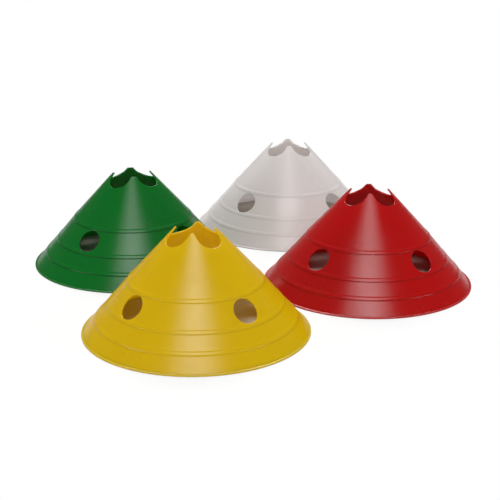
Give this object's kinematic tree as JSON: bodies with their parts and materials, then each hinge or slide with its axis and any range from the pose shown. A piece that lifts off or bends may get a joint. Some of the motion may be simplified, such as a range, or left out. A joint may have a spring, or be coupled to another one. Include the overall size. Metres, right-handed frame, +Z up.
{
  "type": "marker cone set",
  "caption": "Set of low, thin-walled marker cones, with stiffening beads, round pole holes and crowns cut into points, standing in a group.",
  "frame": {"origin": "on the ground, at the middle of the box round the whole set", "axes": "+Z is up; the pictured side is the corner between +X and -Y; the pole holes of each cone lie within 11 degrees of the X and Y axes"},
  "size_m": [0.6551, 0.775, 0.15],
  "materials": {
    "yellow_polyethylene": "satin",
    "red_polyethylene": "satin",
    "green_polyethylene": "satin",
    "white_polyethylene": "satin"
  },
  "bodies": {
    "yellow": {"yellow_cone": "yellow_polyethylene"},
    "red": {"red_cone": "red_polyethylene"},
    "green": {"green_cone": "green_polyethylene"},
    "white": {"white_cone": "white_polyethylene"}
  },
  "joints": [
    {"name": "red_lift", "type": "slide", "parent": "yellow", "child": "red", "axis": [0, 0, 1], "range_m": [0, 0.2]},
    {"name": "green_lift", "type": "slide", "parent": "yellow", "child": "green", "axis": [0, 0, 1], "range_m": [0, 0.2]},
    {"name": "white_lift", "type": "slide", "parent": "yellow", "child": "white", "axis": [0, 0, 1], "range_m": [0, 0.2]}
  ]
}
